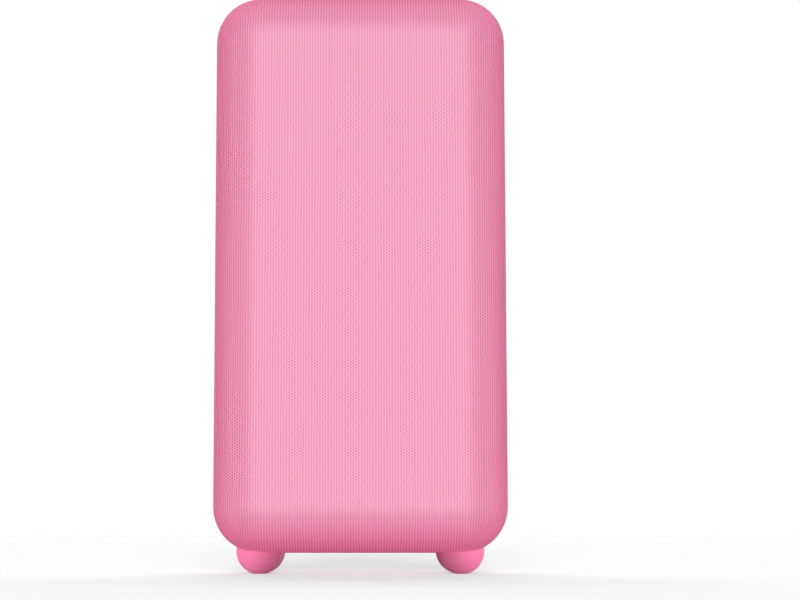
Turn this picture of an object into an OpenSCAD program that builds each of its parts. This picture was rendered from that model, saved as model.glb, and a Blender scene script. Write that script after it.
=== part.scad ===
// Portable speaker: a knit-wrapped cabinet on four ball feet, with everything it holds inside.
// Millimetres. +Z is up and the front faces -Y. The origin is on the floor, under the body's centre.

/* [Body] */
// Width of the fabric-covered body
body_w = 100; // [98:1:104]
// Height of the fabric-covered body, without the feet
body_h = 191.5; // [190:0.5:195]
// Depth of the body, from the front fabric to the rear fabric
body_d = 60; // [60:1:64]
// Radius of the rounded edges and corners
edge_r = 15.6; // [15:0.1:16]
// Thickness of the knitted sleeve
fabric_t = 0.9; // [0.7:0.1:1]
// Wall thickness of the two plastic shells
wall = 2.5; // [2.2:0.1:2.6]

/* [Feet] */
// Radius of each ball foot
foot_r = 7.95; // [7.7:0.05:8.1]
// Height of the body's underside above the floor
foot_gap = 7.1; // [6.9:0.1:7.3]
// Height of the ball's centre above the body's underside
foot_rise = 0.65; // [0.5:0.05:0.8]

/* [Rear panel] */
// Width of the rear panel
panel_w = 66; // [65:0.5:66]
// Height of the rear panel
panel_h = 157; // [156:0.5:157]
// Corner radius of the rear panel
panel_r = 10; // [9:0.5:11]

/* [Controls] */
// Distance between neighbouring buttons
button_pitch = 11.5; // [11.3:0.1:11.7]
// Radius of each button's cap
button_r = 4.2; // [4:0.1:4.4]
// How far a button presses in
button_travel = 0.6; // [0.4:0.1:0.6]

/* [Drivers] */
// Height of the woofer and radiator axis above the floor
woofer_z = 64; // [63:0.5:65]
// Radius of the woofer's round flange
woofer_r = 32; // [31.5:0.1:32]
// Height of the tweeter's axis above the floor
tweeter_z = 150; // [149:0.5:151]
// Radius of the tweeter's face plate
tweeter_r = 17; // [16.5:0.1:17.5]

/* [Hidden] */
// Joint and seat clearances
fit_gap = 0.05;
slide_gap = 0.3;

// Main planes of the body
y_front = -body_d / 2;
y_rear = body_d / 2;
z_mid = foot_gap + body_h / 2;
z_top = foot_gap + body_h;

// The shells lie just inside the sleeve
shell_in = fabric_t + fit_gap;
cavity_in = shell_in + wall;

// Ball feet, under the corners' centres across the body and set further in from the front and rear,
// so that the body's lower edge hangs in front of their tops
foot_inset = 4.2;
foot_x = body_w / 2 - edge_r - 0.1;
foot_y = body_d / 2 - edge_r - foot_inset;
foot_z = foot_gap + foot_rise;
foot_top = foot_z + 3.45;
foot_boss_top = foot_top + 2.7;
foot_screw_r = 1.15;

// Front recess, behind the grille, and the baffle that is its floor
recess_w = 66;
recess_h = 157;
recess_r = 10;
grille_y = y_front + shell_in + fit_gap;
grille_t = 1.2;
baffle_y = y_front + 6.4;
baffle_t = 3;
baffle_back = baffle_y + baffle_t;

// Rear pocket: its floor, the panel's faces and the fabric's folded lip
pocket_y = y_rear - 3.4;
wall_in_y = pocket_y - wall;
panel_y = y_rear - 0.3;
plate_t = 1.5;
plate_in_y = panel_y - plate_t;
lip_in = 0.15;
lip_out = lip_in + fabric_t;
pocket_out = lip_out + fit_gap;

// Screws that join the shells, and those that hold the rear panel
shell_screw_x = 30.5;
shell_screw_zs = [38, 106, 168];
shell_head_y = 9;
panel_screw_x = 27.8;
panel_screw_zs = [31.4, 98, 174.3];

// Woofer, along local +Z from the baffle's front face towards the rear
ear_at = 24.5;
ear_r = 3.4;
flange_t = 1.5;
basket_r = 28.6;
cone_r = 23.9;
coil_r = 8;

// Passive radiator, in a well in the rear shell
well_r = 30.2;
well_y = pocket_y - 3.7;
window_r = 26.5;

// Charging port
port_z = 110;
port_w = 13;
port_h = 8;
port_depth = 3.6;
port_floor_y = panel_y - port_depth;
lid_w = 19;
lid_h = 11.9;
lid_z = port_z - 0.55;
lid_t = 1.2;
hinge_z = port_z + 7.2;
hinge_y = panel_y - 0.95;
knuckle_r = 0.95;
knuckle_w = 12;
pin_r = 0.45;

// Buttons
button_z = 163;
button_flange_r = button_r + 0.7;
bed_depth = 0.6;
button_top = panel_y - bed_depth + button_travel + 0.25;
button_xs = [for (i = [2 : -1 : -2]) i * button_pitch];
led_z = 151.5;
post_slot_w = 4 * button_pitch + 4.4;
bed_w = 4 * button_pitch + 2 * button_r + 5;
bed_h = 2 * button_r + 5;

// Boards, the cells and what is on them
board_y = y_rear - 15.1;
board_t = 1.6;
board_w = 52;
board_z0 = 99.5;
board_h = 20;
control_y = y_rear - 10;
control_t = 1.2;
control_z0 = 148.5;
control_h = 21.5;
cell_r = 9.2;
cell_l = 65;
cell_y = 4.5;
cell_zs = [133, 152.6];
tray_y = cell_y - cell_r - 0.3;
tray_t = 1.6;
tray_z0 = 121.6;
tray_z1 = 164.4;

// Places of the small screws
board_screw_x = 22.5;
board_screw_zs = [board_z0 + 2.6, board_z0 + board_h - 2.6];
control_screws = [[23.5, control_z0 + 2.6], [1.5 * button_pitch, control_z0 + control_h - 2.1]];
tray_screw_x = 40;
tray_screw_zs = [tray_z0 + 6, tray_z1 - 6];
tweeter_screw_at = 14.7;
tweeter_screw_turns = [30, 150, 270];

// Colours
knit_pink = [0.95, 0.66, 0.77];
foot_pink = [0.88, 0.49, 0.64];
panel_pink = [0.85, 0.45, 0.60];
shell_grey = [0.25, 0.25, 0.27];
steel = [0.75, 0.76, 0.78];
brass = [0.80, 0.65, 0.35];
rubber_black = [0.10, 0.10, 0.11];
paper_black = [0.14, 0.14, 0.15];
board_green = [0.10, 0.36, 0.22];
ferrite = [0.22, 0.22, 0.24];
cell_blue = [0.25, 0.45, 0.70];
foam_grey = [0.35, 0.35, 0.37];
cream = [0.92, 0.90, 0.84];

// ---------- shared shapes ----------

// The body's outer form, moved inwards by inset
module rounded_box(inset) {
    r = edge_r - inset;
    w = body_w - 2 * inset;
    d = body_d - 2 * inset;
    h = body_h - 2 * inset;
    translate([0, 0, z_mid]) hull() {
        for (x = [-1, 1], y = [-1, 1], z = [-1, 1])
            translate([x * (w / 2 - r), y * (d / 2 - r), z * (h / 2 - r)]) sphere(r, $fn = 32);
        cube([w, d - 2 * r, h - 2 * r], center = true);
        cube([w - 2 * r, d, h - 2 * r], center = true);
        cube([w - 2 * r, d - 2 * r, h], center = true);
    }
}

// Rounded rectangle in the plane, centred
module round_rect(w, h, r) {
    square([w - 2 * r, h], center = true);
    square([w, h - 2 * r], center = true);
    for (x = [-1, 1], y = [-1, 1])
        translate([x * (w / 2 - r), y * (h / 2 - r)]) circle(r, $fn = 48);
}

// Sets a shape drawn along +Z so that it runs along +Y from y0, with its own +Y pointing down
module along_y(x, y0, z) {
    translate([x, y0, z]) rotate([-90, 0, 0]) children();
}

// Upright rounded slab of w by h between two depths
module slab(w, h, r, y0, y1, z = z_mid) {
    along_y(0, y0, z) linear_extrude(y1 - y0) round_rect(w, h, r);
}

// Block between two corners
module block(low, high) {
    translate(low) cube(high - low);
}

// Round bar along Y
module rod_y(x, z, r, y0, y1, fn = 32) {
    along_y(x, y0, z) cylinder(h = y1 - y0, r = r, $fn = fn);
}

// Cross-head screw that enters towards -Y, with its head's seat at y
module screw_y(x, y, z, shank_r, length, head_r, head_t) {
    difference() {
        union() {
            rod_y(x, z, shank_r, y - length, y + 0.01);
            rod_y(x, z, head_r, y, y + head_t);
        }
        for (turn = [0, 90])
            translate([x, y + head_t, z]) rotate([0, turn, 0])
                cube([head_r * 1.2, head_t, head_r * 0.26], center = true);
    }
}

// Points of an arc in the plane
function arc(cx, cy, r, a0, a1, n) =
    [for (i = [0 : n]) [cx + r * cos(a0 + (a1 - a0) * i / n), cy + r * sin(a0 + (a1 - a0) * i / n)]];

// Half-roll surround profile: outer skin, then inner skin, with a flat lip at each side
function roll_profile(mid_r, roll_r, t, lip_in_r, lip_out_r) = concat(
    [[lip_in_r, 0], [lip_in_r, t]],
    [for (p = arc(mid_r, t * 0.5, roll_r, 180, 0, 12)) [p[0], max(p[1], t)]],
    [[lip_out_r, t], [lip_out_r, 0]],
    [for (p = arc(mid_r, 0, roll_r - t, 0, 180, 12)) [p[0], max(p[1], 0)]]
);

// Round lead through a list of points
module lead(points, r) {
    for (i = [0 : len(points) - 2]) hull() {
        translate(points[i]) sphere(r, $fn = 10);
        translate(points[i + 1]) sphere(r, $fn = 10);
    }
}

// ---------- enclosure ----------

// Ball of the given radius at each foot's centre
module foot_balls(r) {
    for (x = [-1, 1], y = [-1, 1]) translate([x * foot_x, y * foot_y, foot_z]) sphere(r, $fn = 64);
}

// Knitted sleeve: front, sides, top and bottom, folded into the rear pocket
module fabric_sleeve() {
    color(knit_pink) difference() {
        union() {
            difference() {
                rounded_box(0);
                rounded_box(fabric_t);
            }
            slab(panel_w + 2 * lip_out, panel_h + 2 * lip_out, panel_r + lip_out, pocket_y + 0.2, y_rear);
        }
        slab(panel_w + 2 * lip_in, panel_h + 2 * lip_in, panel_r + lip_in, pocket_y - 1, y_rear + 1);
        foot_balls(foot_r + 0.12);
    }
}

// Everything that stands inside the front shell's cavity
module front_inside() {
    slab(recess_w + 5.4, recess_h + 5.4, recess_r + 2.7, y_front, baffle_back);
    for (x = [-1, 1]) {
        for (z = shell_screw_zs) rod_y(x * shell_screw_x, z, 3.6, y_front, 0);
        for (z = tray_screw_zs) rod_y(x * tray_screw_x, z, 2.8, y_front, tray_y - tray_t - fit_gap);
        for (z = [-1, 1]) rod_y(x * ear_at, woofer_z + z * ear_at, 2.8, baffle_y, baffle_y + 7);
        translate([x * foot_x, -foot_y, 0]) cylinder(h = foot_boss_top, r = 9.4, $fn = 48);
    }
}

// Gasket's path around the shells' meeting faces
module gasket_ring(half_w, y0, y1) {
    w = body_w - 2 * shell_in - wall;
    h = body_h - 2 * shell_in - wall;
    r = edge_r - shell_in - wall / 2;
    difference() {
        slab(w + half_w, h + half_w, r + half_w / 2, y0, y1);
        slab(w - half_w, h - half_w, r - half_w / 2, y0 - 1, y1 + 1);
    }
}

// Seats for the ball feet: a ball-shaped pocket with a flat roof, and a screw hole above
module foot_seats() {
    intersection() {
        foot_balls(foot_r + 0.12);
        translate([0, 0, foot_top / 2 + 0.05]) cube([body_w, body_d, foot_top + 0.1], center = true);
    }
    for (x = [-1, 1], y = [-1, 1])
        translate([x * foot_x, y * foot_y, foot_top]) cylinder(h = 9, r = 1.4, $fn = 32);
}

module front_shell() {
    color(shell_grey) difference() {
        rounded_box(shell_in);
        difference() {
            rounded_box(cavity_in);
            front_inside();
        }
        translate([0, body_d / 2 - fit_gap, z_mid]) cube([body_w + 2, body_d, body_h + 2], center = true);
        slab(recess_w + 0.4, recess_h + 0.4, recess_r + 0.2, y_front - 1, baffle_y);
        // Woofer and tweeter openings with their seats
        rod_y(0, woofer_z, basket_r + 0.4, baffle_y - 1, baffle_back + 6, 96);
        rod_y(0, woofer_z, woofer_r + 0.15, baffle_y - 1, baffle_y + flange_t + 0.05, 96);
        for (x = [-ear_at, ear_at], z = [woofer_z - ear_at, woofer_z + ear_at]) {
            rod_y(x, z, ear_r + 0.15, baffle_y - 1, baffle_y + flange_t + 0.05);
            rod_y(x, z, 1, baffle_y, baffle_y + 6);
        }
        rod_y(0, tweeter_z, 12.4, baffle_y - 1, baffle_back + 1, 64);
        rod_y(0, tweeter_z, tweeter_r + 0.15, baffle_y - 1, baffle_y + flange_t + 0.05, 64);
        for (a = tweeter_screw_turns) {
            at = tweeter_screw_at * [cos(a), sin(a)];
            rod_y(at[0], tweeter_z + at[1], 0.75, baffle_y, baffle_back + 1);
        }
        // Pilot holes for the shell screws and the tray screws
        for (x = [-1, 1]) {
            for (z = shell_screw_zs) rod_y(x * shell_screw_x, z, 1.45, -9, 1);
            for (z = tray_screw_zs) rod_y(x * tray_screw_x, z, 1, tray_y - tray_t - 6, tray_y);
        }
        gasket_ring(1.3, -1, 1);
        foot_seats();
    }
}

// Everything that stands inside the rear shell's cavity
module rear_inside() {
    slab(panel_w + 2 * pocket_out + 5, panel_h + 2 * pocket_out + 5, panel_r + 3.5, wall_in_y, y_rear);
    rod_y(0, woofer_z, well_r + 2.2, well_y - 2, y_rear, 96);
    for (x = [-1, 1]) {
        for (z = shell_screw_zs) rod_y(x * shell_screw_x, z, 3.6, 0, y_rear);
        for (z = panel_screw_zs) rod_y(x * panel_screw_x, z, 2.6, wall_in_y - 4, y_rear);
        for (z = board_screw_zs) rod_y(x * board_screw_x, z, 2.2, board_y + board_t, y_rear);
        for (at = control_screws) rod_y(x * at[0], at[1], 1.9, control_y + control_t, y_rear);
        translate([x * foot_x, foot_y, 0]) cylinder(h = foot_boss_top, r = 9.4, $fn = 48);
    }
}

module rear_shell() {
    color(shell_grey) difference() {
        rounded_box(shell_in);
        difference() {
            rounded_box(cavity_in);
            rear_inside();
        }
        translate([0, -body_d / 2 + fit_gap, z_mid]) cube([body_w + 2, body_d, body_h + 2], center = true);
        slab(panel_w + 2 * pocket_out, panel_h + 2 * pocket_out, panel_r + pocket_out, pocket_y, y_rear);
        // Radiator well with its seat
        rod_y(0, woofer_z, well_r, well_y, y_rear, 96);
        rod_y(0, woofer_z, window_r + 0.1, well_y - 3, y_rear, 96);
        // Shell screws: a wide way in for the head, then the shank's hole
        for (x = [-1, 1]) {
            for (z = shell_screw_zs) {
                rod_y(x * shell_screw_x, z, 2.7, shell_head_y, y_rear);
                rod_y(x * shell_screw_x, z, 1.6, -1, y_rear);
            }
            for (z = panel_screw_zs) rod_y(x * panel_screw_x, z, 1.25, wall_in_y - 3.2, y_rear);
            for (z = board_screw_zs) rod_y(x * board_screw_x, z, 0.8, board_y, board_y + 6);
            for (at = control_screws) rod_y(x * at[0], at[1], 0.7, control_y, control_y + 4);
        }
        // Openings for the port cup, the membrane's posts and the light pipe
        block([-11.7, wall_in_y - 1, port_z - 8.7], [11.7, y_rear, hinge_z + 2.7]);
        block([-post_slot_w / 2, wall_in_y - 1, button_z - 2.2], [post_slot_w / 2, y_rear, button_z + 2.2]);
        rod_y(0, led_z, 1.5, wall_in_y - 1, y_rear);
        gasket_ring(1.3, -1, 1);
        foot_seats();
    }
}

module shell_gasket() {
    color(rubber_black) gasket_ring(1.1, -0.9, 0.9);
}

// Perforated plate behind the front fabric, with a skirt down to the baffle
module front_grille() {
    pitch = 5.4;
    color(shell_grey) difference() {
        slab(recess_w, recess_h, recess_r, grille_y, baffle_y - fit_gap);
        slab(recess_w - 2.4, recess_h - 2.4, recess_r - 1.2, grille_y + grille_t, baffle_y + 1);
        for (spot = [[woofer_z, 25], [tweeter_z, 14]], i = [-5 : 5], j = [-6 : 6]) {
            x = (i + (abs(j) % 2) * 0.5) * pitch;
            z = j * pitch * 0.866;
            if (norm([x, z]) < spot[1])
                rod_y(x, spot[0] + z, 1.7, grille_y - 1, grille_y + grille_t + 1, 20);
        }
    }
}

module shell_screws() {
    color(steel) for (x = [-1, 1], z = shell_screw_zs)
        screw_y(x * shell_screw_x, shell_head_y + fit_gap, z, 1.4, 17, 2.4, 1.7);
}

module panel_screws() {
    color(steel) for (x = [-1, 1], z = panel_screw_zs)
        screw_y(x * panel_screw_x, panel_y - 1.15, z, 1.2, 7.2, 2.3, 1);
}

// ---------- feet ----------

// One ball foot: flat underneath, and flat on top inside its seat, with a screw's pilot hole
module foot(side, end) {
    color(foot_pink) translate([side * foot_x, end * foot_y, 0]) difference() {
        intersection() {
            translate([0, 0, foot_z]) sphere(foot_r, $fn = 96);
            translate([0, 0, foot_top / 2]) cube([4 * foot_r, 4 * foot_r, foot_top], center = true);
        }
        translate([0, 0, foot_top - 5.5]) cylinder(h = 6, r = foot_screw_r + fit_gap, $fn = 32);
    }
}

module foot_screws() {
    color(steel) for (x = [-1, 1], y = [-1, 1])
        translate([x * foot_x, y * foot_y, foot_boss_top + fit_gap]) rotate([90, 0, 0])
            screw_y(0, 0, 0, foot_screw_r, 7.6, 2.4, 1.4);
}

// ---------- woofer ----------

module at_woofer() {
    along_y(0, baffle_y, woofer_z) children();
}

// Pressed basket: eared flange, windowed cone and the ledge that carries the spider
module woofer_basket() {
    color(ferrite) at_woofer() difference() {
        union() {
            linear_extrude(flange_t) union() {
                circle(woofer_r, $fn = 96);
                for (x = [-1, 1], y = [-1, 1]) translate([x * ear_at, y * ear_at]) circle(ear_r, $fn = 32);
            }
            rotate_extrude($fn = 96)
                polygon([[0, 1], [basket_r, 1], [basket_r, 6], [17.5, 16], [17.5, 17.5], [0, 17.5]]);
        }
        rotate_extrude($fn = 96) polygon([
            [0, -1], [basket_r - 1.2, -1], [basket_r - 1.2, 5.4], [22.2, 10.6], [22.2, 11.4],
            [19.6, 11.4], [19.6, 12.4], [16.3, 15.4], [12, 16.1], [9.4, 16.1], [9.4, 19], [0, 19]
        ]);
        for (a = [0 : 60 : 300]) rotate([0, 0, a]) translate([23, 0, 7.8]) cube([16, 11, 5], center = true);
        for (x = [-ear_at, ear_at], y = [-ear_at, ear_at])
            translate([x, y, -1]) cylinder(h = 4, r = 1.15, $fn = 32);
    }
}

module woofer_gasket() {
    color(foam_grey) at_woofer() difference() {
        translate([0, 0, -1.5]) cylinder(h = 0.9, r = 31.8, $fn = 96);
        translate([0, 0, -2]) cylinder(h = 2, r = 29.2, $fn = 96);
    }
}

// Rubber half-roll between the cone's rim and the basket's flange
module woofer_surround() {
    color(rubber_black) at_woofer() translate([0, 0, -fit_gap]) mirror([0, 0, 1])
        rotate_extrude($fn = 96) polygon(roll_profile(26.1, 2.1, 0.5, 22, 31.8));
}

module woofer_cone() {
    color(paper_black) at_woofer() rotate_extrude($fn = 96)
        polygon([
            [22.1, 0], [cone_r, 0], [cone_r, 0.5], [22.4, 0.5], [coil_r + 0.6, 7.4], [coil_r + 0.1, 7.1]
        ]);
}

// Domed cap, closed underneath by the shallow curve of its own skin
module woofer_dust_cap() {
    color(paper_black) at_woofer() rotate_extrude($fn = 64) intersection() {
        translate([0, 14]) difference() {
            circle(12.6, $fn = 96);
            circle(12.1, $fn = 96);
        }
        square([8.8, 5.9]);
    }
}

module woofer_voice_coil() {
    color(brass) at_woofer() difference() {
        union() {
            translate([0, 0, 7.6]) cylinder(h = 13.4, r = coil_r, $fn = 64);
            translate([0, 0, 14.6]) cylinder(h = 6, r = coil_r + 0.45, $fn = 64);
        }
        translate([0, 0, 7]) cylinder(h = 15, r = coil_r - 0.35, $fn = 64);
    }
}

// Corrugated spider that centres the coil
module woofer_spider() {
    step = 1.6;
    folds = [for (i = [0 : 7]) [coil_r + 0.15 + i * step, (i % 2) * 0.8]];
    color(cream) at_woofer() translate([0, 0, 10]) rotate_extrude($fn = 64) polygon(concat(
        [for (p = folds) p], [[21.8, 0.8], [21.8, 1.3]],
        [for (i = [7 : -1 : 0]) [folds[i][0], folds[i][1] + 0.5]]
    ));
}

module woofer_top_plate() {
    color(steel) at_woofer() translate([0, 0, 17.6]) difference() {
        cylinder(h = 2.5, r = 16.5, $fn = 64);
        translate([0, 0, -1]) cylinder(h = 5, r = coil_r + 0.9, $fn = 64);
    }
}

module woofer_magnet() {
    color(ferrite) at_woofer() translate([0, 0, 20.15]) difference() {
        cylinder(h = 6, r = 17.5, $fn = 64);
        translate([0, 0, -1]) cylinder(h = 8, r = 11, $fn = 64);
    }
}

// Back plate with its pole
module woofer_yoke() {
    color(steel) at_woofer() {
        translate([0, 0, 26.2]) cylinder(h = 2.5, r = 16.5, $fn = 64);
        translate([0, 0, 17.6]) cylinder(h = 9, r = coil_r - 0.8, $fn = 64);
    }
}

module woofer_screws() {
    color(steel) for (x = [-1, 1], z = [-1, 1])
        translate([0, baffle_y, 0]) mirror([0, 1, 0])
            screw_y(x * ear_at, fit_gap, woofer_z + z * ear_at, 0.95, 6, 2.1, 1.1);
}

// ---------- tweeter ----------

module at_tweeter() {
    along_y(0, baffle_y, tweeter_z) children();
}

module tweeter_plate() {
    color(shell_grey) at_tweeter() difference() {
        cylinder(h = flange_t, r = tweeter_r, $fn = 64);
        translate([0, 0, -1]) cylinder(h = 4, r = 10, $fn = 64);
        for (a = tweeter_screw_turns)
            rotate([0, 0, -a]) translate([tweeter_screw_at, 0, -1]) cylinder(h = 4, r = 0.9, $fn = 32);
    }
}

// Soft dome with its short coil
module tweeter_dome() {
    color(paper_black) at_tweeter() {
        rotate_extrude($fn = 64) intersection() {
            translate([0, 12.3]) difference() {
                circle(14, $fn = 128);
                circle(13.6, $fn = 128);
            }
            translate([0, -2]) square([9.4, 5.4]);
        }
        difference() {
            translate([0, 0, 1.7]) cylinder(h = 4.2, r = 9.4, $fn = 64);
            translate([0, 0, 0.5]) cylinder(h = 6, r = 9, $fn = 64);
        }
    }
}

module tweeter_magnet() {
    color(ferrite) at_tweeter() difference() {
        translate([0, 0, flange_t + 0.05]) cylinder(h = 9.4, r = 12, $fn = 64);
        difference() {
            cylinder(h = 7.4, r = 9.9, $fn = 64);
            translate([0, 0, 2.6]) cylinder(h = 6, r = 8.5, $fn = 64);
        }
    }
}

module tweeter_screws() {
    color(steel) for (a = tweeter_screw_turns) {
        at = tweeter_screw_at * [cos(a), sin(a)];
        translate([0, baffle_y, 0]) mirror([0, 1, 0])
            screw_y(at[0], fit_gap, tweeter_z + at[1], 0.7, 4, 1.6, 0.9);
    }
}

// ---------- passive radiator ----------

module at_radiator(y) {
    along_y(0, y, woofer_z) children();
}

module radiator_frame() {
    color(shell_grey) at_radiator(well_y + fit_gap) difference() {
        cylinder(h = 1.8, r = well_r - 0.2, $fn = 96);
        translate([0, 0, -1]) cylinder(h = 4, r = 26.9, $fn = 96);
    }
}

module radiator_surround() {
    color(rubber_black) at_radiator(well_y + 1.9)
        rotate_extrude($fn = 96) polygon(roll_profile(23.6, 2.3, 0.5, 18.2, 29.6));
}

// Stiff plate with a raised centre, and a tuning weight behind it
module radiator_plate() {
    color(foot_pink) at_radiator(well_y - 2.5) rotate_extrude($fn = 96) polygon(concat(
        [[0, 0], [12, 0], [12, 2], [20.9, 2], [20.9, 4.35], [18, 4.35], [18, 5.1]],
        arc(17.4, 5.1, 0.6, 0, 90, 4), [[16.2, 5.7], [15.4, 5.2], [0, 5.2]]
    ));
}

// ---------- battery ----------

module battery_cells() {
    color(cell_blue) for (z = cell_zs) translate([-cell_l / 2, cell_y, z]) rotate([0, 90, 0]) {
        cylinder(h = cell_l - 1, r = cell_r, $fn = 64);
        cylinder(h = cell_l, r = 3, $fn = 32);
    }
}

module battery_tray() {
    end_x = cell_l / 2 + 0.6;
    color(shell_grey) difference() {
        union() {
            block([-end_x - 1.8, tray_y - tray_t, tray_z0], [end_x + 1.8, tray_y, tray_z1]);
            for (x = [-1, 1]) {
                translate([x * (end_x + 0.9), tray_y + 5, (tray_z0 + tray_z1) / 2])
                    cube([1.8, 12, tray_z1 - tray_z0], center = true);
                for (z = tray_screw_zs)
                    translate([x * (tray_screw_x - 1.5), tray_y - tray_t / 2, z])
                        cube([9, tray_t, 7], center = true);
            }
        }
        for (x = [-1, 1], z = tray_screw_zs) rod_y(x * tray_screw_x, z, 1.2, tray_y - 5, tray_y + 5);
    }
}

// Band around the cells and the tray
module battery_strap() {
    back = cell_y + cell_r;
    color(rubber_black) difference() {
        block([-7, tray_y - tray_t - 0.9, tray_z0 - 0.9], [7, back + 0.9, tray_z1 + 0.9]);
        block([-8, tray_y - tray_t - 0.1, tray_z0 - 0.1], [8, back + 0.1, tray_z1 + 0.1]);
    }
}

module tray_screws() {
    color(steel) for (x = [-1, 1], z = tray_screw_zs)
        screw_y(x * tray_screw_x, tray_y + fit_gap, z, 0.95, 6.5, 2, 1.2);
}

// ---------- electronics ----------

module main_board() {
    color(board_green) difference() {
        block(
            [-board_w / 2, board_y, board_z0],
            [board_w / 2, board_y + board_t - fit_gap, board_z0 + board_h]
        );
        for (x = [-1, 1], z = board_screw_zs) rod_y(x * board_screw_x, z, 1, board_y - 1, board_y + 3);
    }
}

module amplifier_chip() {
    color(rubber_black) block([-3.5, board_y - 1.05, 105.5], [3.5, board_y - 0.05, 112.5]);
}

// Radio module: its own small board under a metal can
module radio_module() {
    color(steel) {
        block([-18.5, board_y - 0.75, 103], [-6.5, board_y - 0.05, 117]);
        block([-17.9, board_y - 2.4, 106], [-7.1, board_y - 0.7, 116.4]);
    }
}

module board_capacitors() {
    color(ferrite) for (x = [7.6, 13.6]) rod_y(x, 115.4, 2.4, board_y - 2.9, board_y - 0.05);
}

module board_inductors() {
    color(ferrite) for (x = [6, 13.4]) block([x, board_y - 2.6, 105.6], [x + 6, board_y - 0.05, 111.2]);
}

// White headers for the leads and for the ribbon's two ends
module board_connectors() {
    color(cream) {
        for (x = [-4.4, 6.6, 14.4]) block([x, board_y - 2.6, 100.2], [x + 5, board_y - 0.05, 104]);
        block([-20.5, board_y + board_t, 108], [-9.5, board_y + board_t + 1.2, 111.5]);
        block([-20.5, control_y - 1.3, 155], [-9.5, control_y - 0.05, 158.5]);
    }
}

module board_screws() {
    color(steel) {
        for (x = [-1, 1], z = board_screw_zs)
            translate([0, board_y - fit_gap, 0]) mirror([0, 1, 0])
                screw_y(x * board_screw_x, 0, z, 0.75, 5, 1.7, 1);
        for (x = [-1, 1], at = control_screws)
            translate([0, control_y - fit_gap, 0]) mirror([0, 1, 0])
                screw_y(x * at[0], 0, at[1], 0.65, 3.4, 1.3, 0.8);
    }
}

// Upright socket: a stadium-shaped steel shell with its tongue
module usb_socket() {
    length = port_floor_y - board_y - board_t - fit_gap;
    back_t = 1.2;
    tongue_l = length - back_t - 0.8;
    color(steel) along_y(0, board_y + board_t, port_z) {
        difference() {
            linear_extrude(length) round_rect(8.9, 3.2, 1.55);
            translate([0, 0, back_t]) linear_extrude(length) round_rect(8.3, 2.6, 1.25);
        }
        translate([0, 0, back_t + tongue_l / 2 - 0.1]) cube([6.6, 0.7, tongue_l + 0.2], center = true);
    }
}

module control_board() {
    color(board_green) difference() {
        block(
            [-26.5, control_y, control_z0],
            [26.5, control_y + control_t - fit_gap, control_z0 + control_h]
        );
        for (x = [-1, 1], at = control_screws)
            rod_y(x * at[0], at[1], 0.85, control_y - 1, control_y + 3);
    }
}

module tactile_switches() {
    color(steel) for (x = button_xs) {
        translate([x, control_y + control_t + 0.8, button_z]) cube([5, 1.6, 5], center = true);
        rod_y(x, button_z, 1.1, control_y + control_t + 1.5, control_y + control_t + 2);
    }
}

module status_led() {
    color(cream) translate([0, control_y + control_t + 0.2, led_z]) cube([1.6, 0.4, 1.6], center = true);
}

module light_pipe() {
    color(cream) {
        rod_y(0, led_z, 1.2, control_y + control_t + 0.5, panel_y + 0.1);
        rod_y(0, led_z, 2, plate_in_y - 0.9, plate_in_y - fit_gap);
    }
}

// ---------- rear panel and controls ----------

// Rounded slab that reaches behind the panel and holds the port's pocket and the flap's hinge
module port_cup() {
    block([-11.2, port_floor_y - 1.2, port_z - 8.2], [11.2, panel_y, hinge_z + 2.2]);
}

module rear_panel() {
    color(panel_pink) difference() {
        union() {
            difference() {
                slab(panel_w, panel_h, panel_r, pocket_y + 0.1, panel_y);
                slab(panel_w - 3.2, panel_h - 3.2, panel_r - 1.6, pocket_y - 1, plate_in_y);
            }
            rod_y(0, woofer_z, well_r - 0.2, well_y + 2.5, panel_y, 96);
            for (x = [-1, 1], z = panel_screw_zs) rod_y(x * panel_screw_x, z, 3.3, pocket_y + 0.1, panel_y);
            port_cup();
        }
        // Radiator's window, with a shallow step around its mouth
        rod_y(0, woofer_z, window_r, well_y, y_rear, 96);
        rod_y(0, woofer_z, window_r + 1.4, panel_y - 0.7, y_rear, 96);
        for (x = [-1, 1], z = panel_screw_zs) {
            rod_y(x * panel_screw_x, z, 1.35, pocket_y - 1, y_rear);
            rod_y(x * panel_screw_x, z, 2.6, panel_y - 1.2, y_rear);
        }
        // Sunken bed for the buttons, and their holes
        slab(bed_w, bed_h, bed_h / 2 - 0.05, panel_y - bed_depth, y_rear, button_z);
        for (x = button_xs) rod_y(x, button_z, button_r + slide_gap, pocket_y, y_rear, 48);
        rod_y(0, led_z, 1.25, pocket_y, y_rear);
        // Port: the socket's mouth, the pocket, the flap's bed, the hinge's slot and a nail notch
        along_y(0, port_floor_y - 2, port_z) linear_extrude(4) round_rect(9.3, 3.6, 1.7);
        slab(port_w, port_h, 1.5, port_floor_y, y_rear, port_z);
        slab(lid_w + 0.6, lid_h + 1, 1.6, panel_y - lid_t - 0.1, y_rear, lid_z + 0.2);
        block([-knuckle_w / 2 - 0.3, hinge_y - knuckle_r - 0.4, hinge_z - 1.9],
              [knuckle_w / 2 + 0.3, y_rear, hinge_z + 1.4]);
        translate([-8.6, hinge_y, hinge_z]) rotate([0, 90, 0])
            cylinder(h = 17.2, r = pin_r + 0.05, $fn = 24);
        rod_y(0, port_z - 6.9, 3.4, panel_y - 0.8, y_rear);
    }
}

// Silicone sheet behind the buttons, with a post over each switch
module keypad_membrane() {
    color(rubber_black) {
        slab(4 * button_pitch + 8, 11, 4, pocket_y + 0.05, pocket_y + 0.65, button_z);
        for (x = button_xs) rod_y(x, button_z, 1.4, control_y + control_t + 2.2, pocket_y + 0.1);
    }
}

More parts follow.
